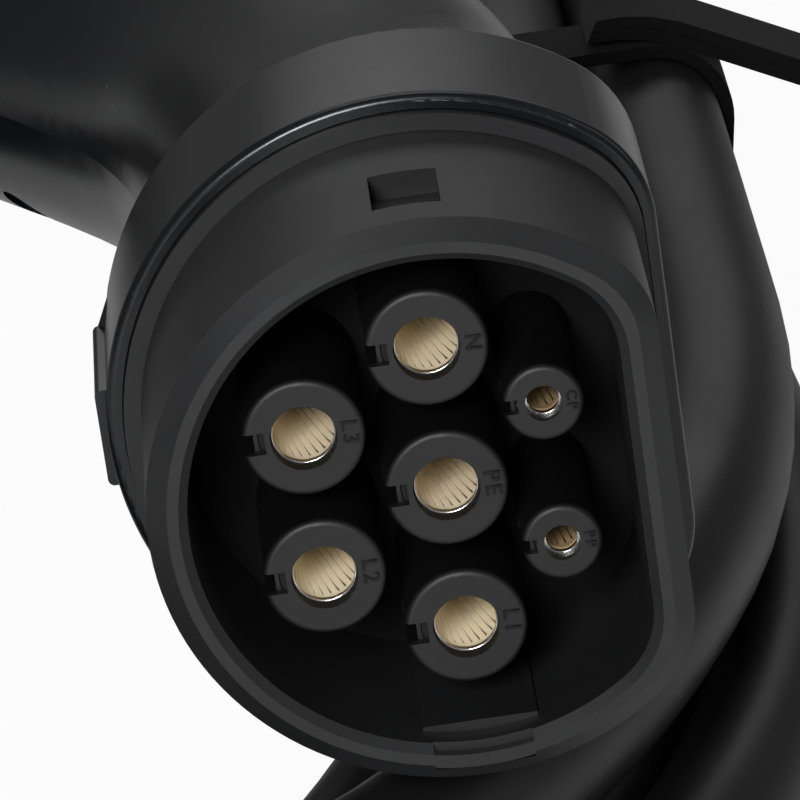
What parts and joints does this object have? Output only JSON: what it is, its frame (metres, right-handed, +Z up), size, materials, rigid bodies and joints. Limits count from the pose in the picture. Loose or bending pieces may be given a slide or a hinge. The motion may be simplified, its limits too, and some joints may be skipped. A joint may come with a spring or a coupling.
{
  "type": "ev charging plug",
  "caption": "Pistol-grip three-phase charging plug with a D-shaped mating sleeve, socket contacts and a folded lead, lying on its side.",
  "frame": {"origin": "centre of the earth contact's mouth, on the face of the contact towers", "axes": "-Y is the direction the plug moves to mate, +X points to the flat of the D, which is uppermost in use, and +Z is up as the plug lies on its side"},
  "size_m": [0.2882, 0.5336, 0.1022],
  "materials": {
    "housing": "black moulded plastic, fine satin grain",
    "sleeve": "black glass-filled plastic, satin",
    "carrier": "black plastic with fine moulding",
    "contact": "turned copper alloy, pale gold plating",
    "crown": "stamped and twisted spring strip, pale gold",
    "steel": "zinc-plated steel",
    "rubber": "black elastomer",
    "sheath": "black matt polyurethane sheath",
    "tie": "black woven hook-and-loop tape",
    "core_earth": "green insulation with a yellow stripe",
    "core_neutral": "blue insulation",
    "core_phase_1": "brown insulation",
    "core_phase_2": "black insulation",
    "core_phase_3": "grey insulation",
    "core_pilot": "orange insulation",
    "core_ends": "coloured core insulation",
    "tinned": "tinned copper ferrules",
    "resistor": "lacquered resistor body"
  },
  "bodies": {
    "root": {"mating_sleeve": "sleeve", "contact_carrier": "carrier", "contact_retainer": "carrier", "retainer_screws": "steel", "housing_upper": "housing", "housing_lower": "housing", "housing_screws": "steel", "clamp_saddle": "carrier", "clamp_screws": "steel", "gland_nut": "housing", "bend_boot": "rubber", "coding_resistor": "resistor", "lead_in_grip": "sheath", "lead_tube": "sheath", "lead_tail": "sheath", "lead_bundle": "sheath", "tie_right": "tie", "tie_left": "tie", "end_sleeve": "rubber", "end_cores": "core_ends", "end_ferrules": "tinned", "wire_pe": "core_earth", "wire_n": "core_neutral", "wire_l1": "core_phase_1", "wire_l2": "core_phase_2", "wire_l3": "core_phase_3", "wire_cp": "core_pilot", "contact_pe": "contact", "crown_pe": "crown", "contact_n": "contact", "crown_n": "crown", "contact_l1": "contact", "crown_l1": "crown", "contact_l3": "contact", "crown_l3": "crown", "contact_l2": "contact", "crown_l2": "crown", "contact_cp": "contact", "crown_cp": "crown", "contact_pp": "contact", "crown_pp": "crown"}
  },
  "joints": []
}
